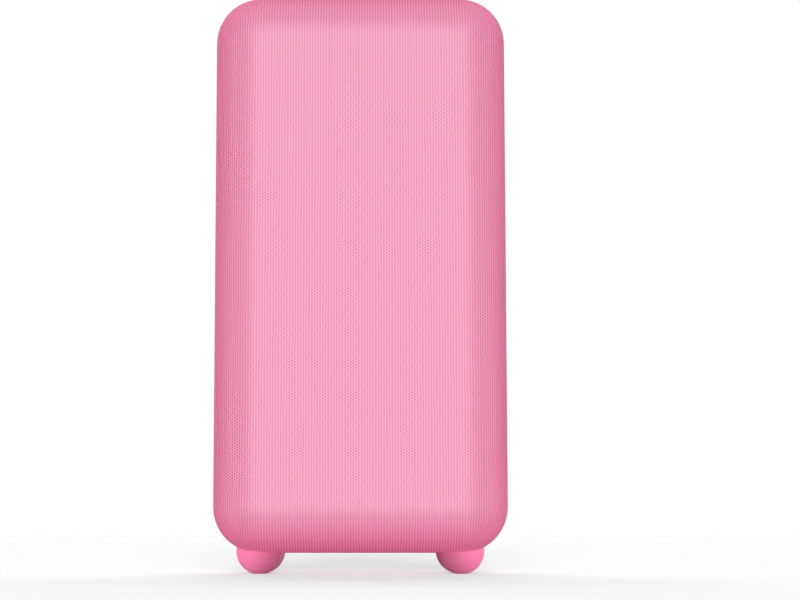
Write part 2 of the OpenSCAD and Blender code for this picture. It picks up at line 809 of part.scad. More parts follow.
// Button: a domed cap that runs in the panel's hole, and a flange that keeps it in
module button(index) {
    flange_y = pocket_y + 0.75;
    top = button_top - flange_y;
    color(foot_pink) difference() {
        along_y(button_xs[index], flange_y, button_z) rotate_extrude($fn = 64) polygon(concat(
            [[0, 0], [button_flange_r, 0], [button_flange_r, 0.65], [button_r, 0.65]],
            arc(button_r - 0.5, top - 0.5, 0.5, 0, 90, 4), [[0, top]]
        ));
        along_y(button_xs[index], button_top - 0.2, button_z) linear_extrude(1) children();
    }
}

// Bar used in the symbols
module bar(w, h) {
    square([w, h], center = true);
}

// Arc of a ring, open at the bottom of the drawing, from one angle to another
module ring_arc(r, t, a0, a1) {
    polygon(concat(arc(0, 0, r + t / 2, a0, a1, 16), arc(0, 0, r - t / 2, a1, a0, 16)));
}

// The symbols are drawn half a turn round, because they are read from behind
module power_button() {
    button(0) {
        ring_arc(1.5, 0.4, -55, 235);
        translate([0, -1.5]) bar(0.4, 1.7);
    }
}

module pairing_button() {
    button(1) {
        circle(0.4, $fn = 24);
        for (r = [1.1, 1.9], turn = [0, 180]) rotate(turn) ring_arc(r, 0.4, -45, 45);
    }
}

module volume_down_button() {
    button(2) bar(3.2, 0.45);
}

module play_button() {
    button(3) {
        polygon([[1.1, -1.5], [1.1, 1.5], [-1.6, 0]]);
    }
}

module volume_up_button() {
    button(4) {
        bar(3.2, 0.45);
        bar(0.45, 3.2);
    }
}

// Flap: lid, plug and hinge knuckle
module port_flap() {
    color(foot_pink) difference() {
        union() {
            slab(lid_w, lid_h, 1.3, panel_y - lid_t, panel_y, lid_z);
            slab(port_w - 1, port_h - 1, 1.2, panel_y - lid_t - 1.1, panel_y - lid_t + 0.1, port_z);
            block([-knuckle_w / 2, panel_y - lid_t, port_z + 4], [knuckle_w / 2, panel_y, hinge_z]);
            translate([-knuckle_w / 2, hinge_y, hinge_z]) rotate([0, 90, 0])
                cylinder(h = knuckle_w, r = knuckle_r, $fn = 32);
        }
        translate([-8, hinge_y, hinge_z]) rotate([0, 90, 0]) cylinder(h = 16, r = pin_r + 0.08, $fn = 24);
    }
}

module hinge_pin() {
    color(steel) translate([-8.5, hinge_y, hinge_z]) rotate([0, 90, 0])
        cylinder(h = 17, r = pin_r, $fn = 24);
}

// ---------- wiring and damping ----------

// Pair of wires in one sleeve, from the basket's side up to the board
module woofer_lead() {
    color(rubber_black) lead([
        [23, -7.4, 82], [26, -5, 88], [29, 0, 92], [28, 5, 95], [22, 8.6, 97.4],
        [17.5, 11, 98.6], [17, 12.6, 99.4]
    ], 0.8);
}

module tweeter_lead() {
    color(rubber_black) lead([
        [11, -11.4, 141], [16, -11.2, 134], [18, -10.8, 126], [17, -9.6, 119], [12, -4, 112], [9.5, 3, 105],
        [9, 8, 100.5], [9.1, 11, 98.6], [9.1, 12.6, 99.4]
    ], 0.7);
}

module battery_lead() {
    color(rubber_black) lead([
        [-38.2, 4.5, 142], [-38.2, 6, 132], [-37.4, 7.4, 122], [-33.5, 8.8, 116.6], [-27, 9.4, 113.4],
        [-22.4, 9.4, 107.5], [-16, 9.2, 101.6], [-8, 10.2, 98.6], [-2.6, 11.4, 98], [-1.9, 12.6, 99.4]
    ], 0.8);
}

// Flat ribbon between the two boards
module control_ribbon() {
    color(cream) block([-20, board_y + board_t + 1.3, 109], [-10, board_y + board_t + 1.6, 158]);
}

module damping_foam() {
    color(foam_grey) translate([0, 2, z_top - 10]) cube([60, 30, 10], center = true);
}

// ---------- one line per node ----------

fabric_sleeve();
front_shell();
rear_shell();
shell_gasket();
front_grille();
rear_panel();
shell_screws();
panel_screws();
foot(-1, -1);  // foot_front_left
foot(1, -1);  // foot_front_right
foot(-1, 1);  // foot_rear_left
foot(1, 1);  // foot_rear_right
foot_screws();
woofer_basket();
woofer_gasket();
woofer_surround();
woofer_cone();
woofer_dust_cap();
woofer_voice_coil();
woofer_spider();
woofer_top_plate();
woofer_magnet();
woofer_yoke();
woofer_screws();
tweeter_plate();
tweeter_dome();
tweeter_magnet();
tweeter_screws();
radiator_frame();
radiator_surround();
radiator_plate();
battery_cells();
battery_tray();
battery_strap();
tray_screws();
main_board();
amplifier_chip();
radio_module();
board_capacitors();
board_inductors();
board_connectors();
board_screws();
usb_socket();
control_board();
tactile_switches();
status_led();
light_pipe();
keypad_membrane();
power_button();
pairing_button();
volume_down_button();
play_button();
volume_up_button();
port_flap();
hinge_pin();
woofer_lead();
tweeter_lead();
battery_lead();
control_ribbon();
damping_foam();
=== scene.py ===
"""The portable speaker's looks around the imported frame: knitted sleeve, plastics, drivers and boards."""

import math

import bmesh
import bpy
import numpy as np
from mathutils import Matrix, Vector


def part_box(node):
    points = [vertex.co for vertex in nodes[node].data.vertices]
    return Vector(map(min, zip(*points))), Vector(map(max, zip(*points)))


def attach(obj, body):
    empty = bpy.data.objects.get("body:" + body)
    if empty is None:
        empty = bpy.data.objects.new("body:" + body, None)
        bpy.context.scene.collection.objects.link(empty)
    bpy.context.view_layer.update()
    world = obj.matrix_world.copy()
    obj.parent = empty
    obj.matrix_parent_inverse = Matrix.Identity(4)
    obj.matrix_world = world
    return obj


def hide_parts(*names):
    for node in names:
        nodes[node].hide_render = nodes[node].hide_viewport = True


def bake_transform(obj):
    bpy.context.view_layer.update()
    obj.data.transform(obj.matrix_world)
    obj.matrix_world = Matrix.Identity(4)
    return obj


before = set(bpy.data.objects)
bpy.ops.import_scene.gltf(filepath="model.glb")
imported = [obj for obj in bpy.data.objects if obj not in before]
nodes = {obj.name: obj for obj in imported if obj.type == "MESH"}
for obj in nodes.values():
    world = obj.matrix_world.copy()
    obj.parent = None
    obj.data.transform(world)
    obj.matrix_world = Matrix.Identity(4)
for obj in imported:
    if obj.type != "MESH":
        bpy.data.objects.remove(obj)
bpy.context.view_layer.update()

MM = 0.001


# ---------- sizes from the frame, and those of the same part that no box gives ----------

sleeve_low, sleeve_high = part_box("fabric_sleeve")
HALF_W = sleeve_high.x
HALF_D = sleeve_high.y
Z_MID = (sleeve_low.z + sleeve_high.z) / 2
HALF_H = (sleeve_high.z - sleeve_low.z) / 2
# The rounding of the body's edges and corners, and the cloth's thickness
EDGE_R = 15.6 * MM
FABRIC_T = 0.9 * MM
# Half the box that the rounding is swept around
CORE_X = HALF_W - EDGE_R
CORE_Y = HALF_D - EDGE_R
CORE_Z = HALF_H - EDGE_R

panel_low, panel_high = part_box("rear_panel")
# The cloth's rear opening stands this far off the panel, and its lip goes this deep into the pocket
PANEL_GAP = 0.15 * MM
LIP_DEPTH = 3.2 * MM
WINDOW_X = panel_high.x + PANEL_GAP
WINDOW_Z = (panel_high.z - panel_low.z) / 2 + PANEL_GAP
WINDOW_R = 10.15 * MM
LIP_END = HALF_D - LIP_DEPTH

foot_low, foot_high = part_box("foot_front_right")
FOOT_X = (foot_low.x + foot_high.x) / 2
FOOT_Y = -(foot_low.y + foot_high.y) / 2
FOOT_R = (foot_high.x - foot_low.x) / 2
# Height of a ball foot's middle, and the cloth's clearance round the ball
FOOT_Z = 7.75 * MM
FOOT_GAP = 0.12 * MM


# ---------- camera, floor and lights ----------

# The lens and the sensor are in millimetres; the tilt is in degrees, upwards
CAMERA_PLACE = (0, -0.697, 0.0136)
CAMERA_TILT = 6.66
CAMERA_LENS = 90
CAMERA_SENSOR = 36
CAMERA_SHIFT = 0.0494

FLOOR_HALF = 9.0
FLOOR_COLOUR = (0.30, 0.30, 0.303)

# The surround's two levels, and the heights of a direction between which the lower gives way
AMBIENT_ABOVE = (0.22, 0.22, 0.22)
AMBIENT_BELOW = (0.15, 0.05, 0.08)
AMBIENT_TURN = (-0.95, -0.55)
WHITE = (1, 1, 1)
BOUNCE_PINK = (1.0, 0.62, 0.78)


def add_camera():
    data = bpy.data.cameras.new("camera")
    data.sensor_width = CAMERA_SENSOR
    data.lens = CAMERA_LENS
    data.shift_x = CAMERA_SHIFT
    camera = bpy.data.objects.new("camera", data)
    camera.location = CAMERA_PLACE
    camera.rotation_euler = (math.radians(90 + CAMERA_TILT), 0, 0)
    bpy.context.scene.collection.objects.link(camera)
    bpy.context.scene.camera = camera


def add_area(name, place, size, power, diffuse=True, glossy=True, colour=WHITE, on="no_floor"):
    """Softbox turned towards the middle of the body; on is the group it lights, never the floor.
    Place and size are in metres, and power is in watts."""
    data = bpy.data.lights.new(name, "AREA")
    data.shape = "RECTANGLE"
    data.size, data.size_y = size
    data.energy = power
    data.color = colour
    light = bpy.data.objects.new(name, data)
    light.location = place
    away = light.location - Vector((0, 0, Z_MID))
    light.rotation_euler = away.to_track_quat("Z", "Y").to_euler()
    light.visible_diffuse = diffuse
    light.visible_glossy = glossy
    light.light_linking.receiver_collection = bpy.data.collections[on]
    bpy.context.scene.collection.objects.link(light)


def add_wash(name, azimuth, elevation, power, spread, shadows=True):
    """Wide soft sun that reaches only the floor, for its white and for the object's soft shadow.
    Angles and spread are in degrees, and power is the sun's strength."""
    data = bpy.data.lights.new(name, "SUN")
    data.energy = power
    data.angle = math.radians(spread)
    light = bpy.data.objects.new(name, data)
    light.rotation_euler = (math.radians(90 - elevation), 0, math.radians(azimuth))
    light.light_linking.receiver_collection = bpy.data.collections["floor_only"]
    if not shadows:
        light.light_linking.blocker_collection = bpy.data.collections["floor_only"]
    bpy.context.scene.collection.objects.link(light)


def add_floor(sleeve):
    """The studio floor, and the groups of pieces that the lights reach or leave out."""
    half = FLOOR_HALF
    mesh = bpy.data.meshes.new("floor")
    corners = [(-half, -half, 0), (half, -half, 0), (half, half, 0), (-half, half, 0)]
    mesh.from_pydata(corners, [], [(0, 1, 2, 3)])
    floor = bpy.data.objects.new("floor", mesh)
    bpy.context.scene.collection.objects.link(floor)
    material = bpy.data.materials.new("studio_floor")
    material.use_nodes = True
    shader = material.node_tree.nodes["Principled BSDF"]
    shader.inputs["Base Color"].default_value = (*FLOOR_COLOUR, 1)
    shader.inputs["Roughness"].default_value = 0.9
    shader.inputs["Specular IOR Level"].default_value = 0.0
    mesh.materials.append(material)
    floor.visible_diffuse = False
    floor.visible_glossy = False
    floor.visible_shadow = False
    feet = [obj for name, obj in nodes.items() if name.startswith("foot_") and name != "foot_screws"]
    for name, state, members in (
        ("floor_only", "INCLUDE", [floor]),
        ("no_floor", "EXCLUDE", [floor]),
        ("upper", "EXCLUDE", [floor, *feet]),
        ("left_lit", "EXCLUDE", [floor, *(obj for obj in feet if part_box(obj.name)[0].x > 0)]),
        ("right_lit", "EXCLUDE", [floor, *(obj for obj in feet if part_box(obj.name)[0].x < 0)]),
        ("feet_only", "INCLUDE", feet),
        ("hard_parts", "EXCLUDE", [floor, sleeve]),
    ):
        group = bpy.data.collections.new(name)
        for obj in members:
            group.objects.link(obj)
        for entry in group.collection_objects:
            entry.light_linking.link_state = state


def add_world():
    """Soft surround: even light from above and the sides, a pink one from below, and a white backdrop."""
    world = bpy.data.worlds.new("studio")
    world.use_nodes = True
    tree = world.node_tree
    tree.nodes.clear()

    def add(kind):
        return tree.nodes.new(kind)

    out = add("ShaderNodeOutputWorld")
    mix = add("ShaderNodeMixShader")
    path = add("ShaderNodeLightPath")
    place = add("ShaderNodeTexCoord")
    split = add("ShaderNodeSeparateXYZ")
    share = add("ShaderNodeMapRange")
    level = add("ShaderNodeMix")
    level.data_type = "RGBA"
    ambient = add("ShaderNodeBackground")
    backdrop = add("ShaderNodeBackground")
    for socket, value in zip(share.inputs[1:3], AMBIENT_TURN):
        socket.default_value = value
    level.inputs[6].default_value = (*AMBIENT_BELOW, 1)
    level.inputs[7].default_value = (*AMBIENT_ABOVE, 1)
    backdrop.inputs["Color"].default_value = (*WHITE, 1)
    for a, b in (
        (place.outputs["Generated"], split.inputs[0]),
        (split.outputs[2], share.inputs[0]),
        (share.outputs[0], level.inputs[0]),
        (level.outputs[2], ambient.inputs["Color"]),
        (path.outputs["Is Camera Ray"], mix.inputs[0]),
        (ambient.outputs[0], mix.inputs[1]),
        (backdrop.outputs[0], mix.inputs[2]),
        (mix.outputs[0], out.inputs["Surface"]),
    ):
        tree.links.new(a, b)
    world.cycles_visibility.glossy = False
    bpy.context.scene.world = world


def add_lights():
    """Softboxes by name, place, size and power, then washes by name, azimuth, elevation, power, spread."""
    add_area("key_gloss", (0.0, -1.5, 0.34), (1.9, 1.6), 18.5, diffuse=False)
    add_area("fill_left", (-1.40, -0.46, 0.0), (0.8, 1.0), 15.4, glossy=False, on="left_lit")
    add_area("fill_right", (1.40, -0.46, 0.0), (0.8, 1.0), 15.6, glossy=False, on="right_lit")
    add_area("top", (0.0, -0.22, 1.4), (0.9, 0.7), 16.2, glossy=False)
    add_area("bounce", (0.0, -0.90, -1.05), (1.2, 0.8), 12.3, glossy=False, colour=BOUNCE_PINK, on="upper")
    add_area("feet_front", (0.0, -1.35, -0.30), (1.6, 0.8), 11.2, glossy=False, on="feet_only")
    add_area("rear", (-0.45, 1.40, 0.40), (1.0, 0.6), 15.0, glossy=False)
    add_area("rear_gloss", (0.75, 1.30, 0.0), (1.2, 1.0), 7.0, diffuse=False, on="hard_parts")
    add_wash("wash_even", 0, 90, 4.3, 5, shadows=False)
    add_wash("wash_back", 180, 42, 4.1, 50)
    add_wash("wash_front", 0, 10, 14.6, 18)
    bpy.context.scene.view_settings.view_transform = "Standard"
    bpy.context.scene.view_settings.look = "None"


# ---------- materials ----------

class Graph:
    """Builds one node material around a Principled shader."""

    def __init__(self, name, roughness=0.5, metallic=0.0, specular=0.5):
        self.material = bpy.data.materials.new(name)
        self.material.use_nodes = True
        self.tree = self.material.node_tree
        self.shader = self.tree.nodes["Principled BSDF"]
        self.set("Roughness", roughness)
        self.set("Metallic", metallic)
        self.set("Specular IOR Level", specular)
        self.where = self.add("ShaderNodeTexCoord").outputs["Object"]

    def add(self, kind, **settings):
        node = self.tree.nodes.new(kind)
        for key, value in settings.items():
            setattr(node, key, value)
        return node

    def set(self, name, value):
        """A constant on the shader's own socket."""
        self.shader.inputs[name].default_value = value

    def plug(self, name, socket):
        self.tree.links.new(socket, self.shader.inputs[name])

    def feed(self, socket, value):
        if isinstance(value, bpy.types.NodeSocket):
            self.tree.links.new(value, socket)
        else:
            socket.default_value = value

    def math(self, operation, a, b=0.0):
        node = self.add("ShaderNodeMath", operation=operation)
        for socket, value in zip(node.inputs, (a, b)):
            self.feed(socket, value)
        return node.outputs[0]

    def scaled(self, x, y, z, source=None):
        """Object coordinates multiplied by three factors."""
        node = self.add("ShaderNodeVectorMath", operation="MULTIPLY")
        self.feed(node.inputs[0], source or self.where)
        node.inputs[1].default_value = (x, y, z)
        return node.outputs[0]

    def parts(self, source=None):
        """The x, y and z of a vector, or of the object coordinates."""
        node = self.add("ShaderNodeSeparateXYZ")
        self.feed(node.inputs[0], source or self.where)
        return node.outputs

    def noise(self, scale, detail=2.0, roughness=0.5, source=None, distortion=0.0):
        """Cloudy noise, scale to the metre."""
        node = self.add("ShaderNodeTexNoise")
        self.feed(node.inputs["Vector"], source or self.where)
        node.inputs["Scale"].default_value = scale
        node.inputs["Detail"].default_value = detail
        node.inputs["Roughness"].default_value = roughness
        node.inputs["Distortion"].default_value = distortion
        return node.outputs["Fac"]

    def cells(self, scale, randomness=1.0):
        """Distance to the middle of the nearest cell, scale to the metre."""
        node = self.add("ShaderNodeTexVoronoi", feature="F1")
        self.feed(node.inputs["Vector"], self.where)
        node.inputs["Scale"].default_value = scale
        node.inputs["Randomness"].default_value = randomness
        return node.outputs["Distance"]

    def wave(self, source, pitch):
        """A sine along one coordinate, pitch in metres."""
        return self.math("SINE", self.math("MULTIPLY", source, 2 * math.pi / pitch))

    def remap(self, value, low, high, out_low, out_high, smooth=True):
        node = self.add("ShaderNodeMapRange", interpolation_type="SMOOTHSTEP" if smooth else "LINEAR")
        for socket, given in zip(node.inputs, (value, low, high, out_low, out_high)):
            self.feed(socket, given)
        return node.outputs[0]

    def blend(self, factor, a, b):
        node = self.add("ShaderNodeMix", data_type="RGBA")
        self.feed(node.inputs[0], factor)
        for socket, value in ((node.inputs[6], a), (node.inputs[7], b)):
            self.feed(socket, (*value, 1) if isinstance(value, tuple) else value)
        return node.outputs[2]

    def gloss(self, pattern, low, high):
        """Roughness that follows the middle range of a noise."""
        self.plug("Roughness", self.remap(pattern, 0.3, 0.7, low, high, smooth=False))

    def bump(self, height, distance, strength=1.0):
        node = self.add("ShaderNodeBump")
        node.inputs["Strength"].default_value = strength
        node.inputs["Distance"].default_value = distance
        self.feed(node.inputs["Height"], height)
        return node.outputs[0]


def shade(colour, factor):
    return tuple(min(1.0, c * factor) for c in colour)


INK_SHADE = 0.30
COAT_ROUGHNESS = 0.12


def moulded(name, colour, roughness, grain, depth, vary, specular=0.5, coat=0.0, inked=False):
    """Moulded plastic or rubber: fine spark grain, a trace of cloudiness and uneven gloss.
    Grain and its depth are in millimetres."""
    g = Graph(name, roughness, specular=specular)
    cloud = g.noise(55, 3)
    base = g.blend(cloud, shade(colour, 1 - vary), shade(colour, 1 + vary))
    if inked:
        ink = g.add("ShaderNodeAttribute", attribute_name="ink").outputs["Fac"]
        base = g.blend(ink, base, shade(colour, INK_SHADE))
    g.plug("Base Color", base)
    fine = g.noise(1 / (grain * MM), 3, 0.6)
    g.gloss(fine, roughness - 0.05, roughness + 0.06)
    g.plug("Normal", g.bump(fine, depth * MM))
    if coat:
        g.set("Coat Weight", coat)
        g.set("Coat Roughness", COAT_ROUGHNESS)
    return g.material


STREAK_DEPTH = 0.004 * MM


def brushed(name, colour, roughness, along, streak=900):
    """Plated or drawn metal with fine streaks: along gives how much finer they are on each axis."""
    g = Graph(name, roughness, metallic=1.0)
    lines = g.noise(streak, 4, 0.65, g.scaled(*along))
    stain = g.noise(120, 3)
    g.plug("Base Color", g.blend(stain, shade(colour, 0.88), shade(colour, 1.06)))
    g.gloss(lines, roughness - 0.08, roughness + 0.12)
    g.plug("Normal", g.bump(lines, STREAK_DEPTH))
    return g.material


COLUMN_PITCH, ROW_PITCH = 0.931 * MM, 0.933 * MM
# Colours of the yarn and inside the holes, on the flat and where the cloth bends round an edge. The edge
# colours are painted shading: over the roundings the yarn turns a deeper pink and the holes turn darker, for
# how the light falls there.
YARN_FLAT, YARN_EDGE_PAINTED_SHADE = (0.85, 0.300, 0.495), (0.955, 0.315, 0.535)
HOLE_FLAT, HOLE_EDGE_PAINTED_SHADE = (0.59, 0.076, 0.210), (0.53, 0.0, 0.07)
# Radius of a hole on the flat, what an edge adds, and its soft rim, as shares of the pitch. What an edge adds
# is partly the knit's stretch over the rounding and partly painted shade, as the larger dark holes darken the
# rounding.
HOLE_R, HOLE_GROWTH, HOLE_RIM = 0.16, 0.06, 0.27
KNIT_RELIEF = 0.10 * MM


def knit_material():
    """Knitted polyester: upright ribs with a staggered grid of darker pin holes, one column each 0.931 mm.
    Over the roundings its colours blend into painted edge shading.
    """
    g = Graph("knit_fabric", 0.55, specular=1.0)
    at = g.add("ShaderNodeAttribute", attribute_name="weave_at").outputs["Vector"]
    cloth = g.parts(at)
    across = g.math("DIVIDE", cloth[0], COLUMN_PITCH)
    opening_and_edge_shade = g.math("DIVIDE", cloth[2], MM)
    column = g.math("FLOOR", across)
    odd = g.math("FLOORED_MODULO", column, 2.0)
    down = g.math("ADD", g.math("DIVIDE", cloth[1], ROW_PITCH), g.math("MULTIPLY", odd, 0.5))
    from_column = g.math("SUBTRACT", g.math("FRACT", across), 0.5)
    from_row = g.math("SUBTRACT", g.math("FRACT", down), 0.5)
    squared = g.math("ADD", g.math("POWER", from_column, 2.0), g.math("POWER", from_row, 2.0))
    from_hole = g.math("SQRT", squared)
    small = g.math("ADD", g.math("MULTIPLY", opening_and_edge_shade, HOLE_GROWTH), HOLE_R)
    hole = g.remap(from_hole, small, g.math("ADD", small, HOLE_RIM), 1.0, 0.0)
    rib = g.remap(g.math("ABSOLUTE", from_column), 0.18, 0.5, 0.0, 1.0)
    yarn = g.noise(5200, 2, 0.6, g.scaled(1, 1, 0.45, at))
    cloud = g.noise(35, 3)

    # Blends a flat tone into its painted edge shading by how far the cloth turns from the front
    def tone(factor, edge_shade_factor=None):
        return g.blend(opening_and_edge_shade, shade(YARN_FLAT, factor), shade(YARN_EDGE_PAINTED_SHADE, edge_shade_factor or factor))

    # The ribs' valleys are painted a little darker over the roundings: painted shade
    body = g.blend(rib, tone(0.99, 0.93), tone(1.01))
    body = g.blend(g.math("MULTIPLY", yarn, 0.22), body, tone(0.80))
    # The holes are painted darker still over the roundings: painted shade
    body = g.blend(g.math("MULTIPLY", hole, 0.95), body, g.blend(opening_and_edge_shade, HOLE_FLAT, HOLE_EDGE_PAINTED_SHADE))
    g.plug("Base Color", g.blend(g.math("MULTIPLY", cloud, 0.10), body, tone(0.90)))
    yarn_height = g.math("MULTIPLY", g.math("SUBTRACT", 1.0, hole), 0.75)
    height = g.math("ADD", g.math("MULTIPLY", rib, 0.25), yarn_height)
    height = g.math("ADD", height, g.math("MULTIPLY", yarn, 0.18))
    g.plug("Normal", g.bump(height, KNIT_RELIEF, 0.6))
    g.plug("Roughness", g.remap(hole, 0.0, 1.0, 0.50, 0.60, smooth=False))
    g.set("IOR", 1.9)
    return g.material


def woven(name, colour, pitch, roughness, depth):
    """Plain weave: two crossing sets of threads, along x and z, painted darker where the threads dip and
    lighter where they cross over, as shade and light. Pitch and depth are in millimetres.
    """
    g = Graph(name, roughness, specular=0.3)
    x, _, z = g.parts()
    cross = g.math("MULTIPLY", g.wave(x, pitch * MM), g.wave(z, pitch * MM))
    height = g.remap(cross, -1.0, 1.0, 0.0, 1.0)
    fuzz = g.noise(2500, 3, 0.6)
    # Painted shade where the threads dip under, and painted light on the raised crossings
    g.plug("Base Color", g.blend(height, shade(colour, 0.65), shade(colour, 1.15)))
    g.gloss(fuzz, roughness - 0.08, roughness + 0.1)
    g.plug("Normal", g.bump(g.math("ADD", height, g.math("MULTIPLY", fuzz, 0.3)), depth * MM))
    return g.material


def paper_material(colour):
    """Pressed paper pulp with a coat of lacquer."""
    g = Graph("cone_paper", 0.7, specular=0.35)
    fibres = g.noise(650, 6, 0.75, distortion=1.5)
    specks = g.noise(2600, 2)
    g.plug("Base Color", g.blend(fibres, shade(colour, 0.7), shade(colour, 1.5)))
    g.gloss(specks, 0.6, 0.82)
    g.plug("Normal", g.bump(fibres, 0.06 * MM))
    return g.material


def coil_material():
    """Enamelled wire, wound in turns of 0.2 mm along the coil's axis, which is y, with painted shade in the
    grooves between turns.
    """
    g = Graph("coil_copper", 0.3, metallic=1.0)
    height = g.remap(g.wave(g.parts()[1], 0.2 * MM), -1.0, 1.0, 0.0, 1.0)
    # Dark brown in the grooves between turns and full copper on their crowns: painted shade
    g.plug("Base Color", g.blend(height, (0.28, 0.09, 0.03), (0.80, 0.36, 0.16)))
    g.gloss(g.noise(900, 3), 0.22, 0.42)
    g.plug("Normal", g.bump(height, 0.03 * MM))
    return g.material


def board_material():
    """Solder mask over copper: faint tracks, darker bare ground and small vias."""
    g = Graph("board", 0.35)
    tracks = g.add("ShaderNodeTexBrick")
    g.feed(tracks.inputs["Vector"], swap_yz(g))
    tracks.inputs["Scale"].default_value = 260
    tracks.inputs["Mortar Size"].default_value = 0.035
    tracks.inputs["Color1"].default_value = (0.012, 0.105, 0.05, 1)
    tracks.inputs["Color2"].default_value = (0.018, 0.135, 0.065, 1)
    tracks.inputs["Mortar"].default_value = (0.035, 0.20, 0.10, 1)
    vias = g.remap(g.cells(420, randomness=0.9), 0.10, 0.16, 1.0, 0.0)
    g.plug("Base Color", g.blend(g.math("MULTIPLY", vias, 0.8), tracks.outputs["Color"], (0.55, 0.42, 0.16)))
    g.gloss(g.noise(700, 3), 0.28, 0.45)
    g.plug("Normal", g.bump(tracks.outputs["Fac"], 0.02 * MM))
    return g.material


def swap_yz(g):
    """Coordinates with the board's upright plane laid flat."""
    x, y, z = g.parts()
    join = g.add("ShaderNodeCombineXYZ")
    for socket, source in zip(join.inputs, (x, z, y)):
        g.feed(socket, source)
    return join.outputs[0]


def foam_material():
    """Open-cell foam: a springy grey with painted shade in its pores."""
    g = Graph("foam", 0.95, specular=0.1)
    pores = g.cells(1400)
    wall = g.remap(pores, 0.1, 0.6, 0.0, 1.0)
    # The pores are painted near black: painted shade inside the cells
    g.plug("Base Color", g.blend(wall, (0.02, 0.02, 0.022), (0.13, 0.13, 0.14)))
    g.gloss(g.noise(900, 3), 0.86, 1.0)
    g.plug("Normal", g.bump(pores, 0.25 * MM))
    return g.material


def ribbon_material():
    """Polyimide film with copper lines showing through."""
    g = Graph("ribbon_film", 0.35)
    shown = g.remap(g.wave(g.parts()[0], 0.8 * MM), -0.1, 0.25, 0.0, 1.0)
    g.plug("Base Color", g.blend(shown, (0.62, 0.30, 0.06), (0.36, 0.13, 0.02)))
    g.gloss(g.noise(500, 3), 0.28, 0.42)
    g.plug("Normal", g.bump(shown, 0.03 * MM))
    return g.material


def clear_material():
    """Milky light pipe."""
    g = Graph("clear_plastic", 0.25)
    haze = g.noise(400, 4)
    g.plug("Base Color", g.blend(haze, (0.84, 0.84, 0.82), (0.95, 0.95, 0.94)))
    g.gloss(haze, 0.18, 0.32)
    g.plug("Normal", g.bump(haze, 0.01 * MM))
    g.set("Transmission Weight", 0.35)
    g.set("Subsurface Weight", 0.2)
    return g.material


FOOT = (0.88, 0.195, 0.385)
PANEL = (0.76, 0.140, 0.295)

# What moulded() takes for each finish
MOULDED = {
    "foot_plastic": dict(colour=FOOT, roughness=0.62, grain=0.25, depth=0.006, vary=0.03),
    "panel_plastic": dict(colour=PANEL, roughness=0.48, grain=0.40, depth=0.020, vary=0.03),
    "button_plastic": dict(
        colour=shade(PANEL, 1.12), roughness=0.36, grain=0.25, depth=0.006, vary=0.03, inked=True,
    ),
    "flap_rubber": dict(
        colour=shade(PANEL, 0.92), roughness=0.68, grain=0.18, depth=0.010, vary=0.04, specular=0.35,
    ),
    "radiator_finish": dict(colour=shade(PANEL, 1.03), roughness=0.34, grain=0.22, depth=0.004, vary=0.02),
    "shell_plastic": dict(colour=(0.030, 0.030, 0.033), roughness=0.55, grain=0.5, depth=0.030, vary=0.10),
    "black_rubber": dict(colour=(0.014, 0.014, 0.015), roughness=0.62, grain=0.15, depth=0.008, vary=0.15),
    "black_metal": dict(colour=(0.020, 0.020, 0.022), roughness=0.45, grain=0.30, depth=0.020, vary=0.12),
    "ferrite": dict(
        colour=(0.045, 0.045, 0.048), roughness=0.75, grain=0.60, depth=0.060, vary=0.25, specular=0.3,
    ),
    "battery_wrap": dict(
        colour=(0.03, 0.12, 0.42), roughness=0.28, grain=1.2, depth=0.012, vary=0.08, coat=0.5,
    ),
    "chip": dict(colour=(0.016, 0.016, 0.018), roughness=0.60, grain=0.12, depth=0.010, vary=0.10),
    "connector_nylon": dict(colour=(0.76, 0.73, 0.62), roughness=0.50, grain=0.25, depth=0.010, vary=0.04),
    "lead_jacket": dict(colour=(0.020, 0.020, 0.021), roughness=0.50, grain=0.35, depth=0.010, vary=0.10),
}

MATERIALS = {name: moulded(name, **finish) for name, finish in MOULDED.items()}
MATERIALS.update({
    "knit_fabric": knit_material(),
    "screw_steel": brushed("screw_steel", (0.60, 0.61, 0.63), 0.30, along=(1, 6, 1), streak=1500),
    "plated_steel": brushed("plated_steel", (0.66, 0.67, 0.68), 0.26, along=(8, 1, 1)),
    "aluminium_can": brushed("aluminium_can", (0.72, 0.73, 0.74), 0.28, along=(1, 1, 1), streak=600),
    "cone_paper": paper_material((0.020, 0.020, 0.022)),
    "coil_copper": coil_material(),
    "spider_cloth": woven("spider_cloth", (0.60, 0.40, 0.14), pitch=0.9, roughness=0.75, depth=0.08),
    "dome_silk": woven("dome_silk", (0.022, 0.022, 0.025), pitch=0.35, roughness=0.6, depth=0.02),
    "strap_web": woven("strap_web", (0.030, 0.030, 0.033), pitch=1.1, roughness=0.85, depth=0.12),
    "board": board_material(),
    "clear_plastic": clear_material(),
    "ribbon_film": ribbon_material(),
    "foam": foam_material(),
})


def dress_nodes():
    """Gives every CAD node the finish that its slots name."""
    for obj in nodes.values():
        for index, old in enumerate(obj.data.materials):
            obj.data.materials[index] = MATERIALS[old.name.split(".")[0]]


# ---------- knitted sleeve ----------

# Faces across the front, up it and round a corner, then over an edge, along a side and over the fold
ACROSS, UP, CORNER = 22, 50, 14
ROUND_STEPS, SIDE_STEPS, FOLD_STEPS = 20, 8, 5
# The fold into the rear pocket, the ring below it, and the eased corners of the lip's cut end
FOLD_R = 0.9 * MM
BELOW_FOLD = 1.8 * MM
LIP_EASE = 0.15 * MM
# Points are welded on a grid with this many steps to the metre
WELD_GRID = 1e8
SLEEVE_SHARP = math.radians(40)


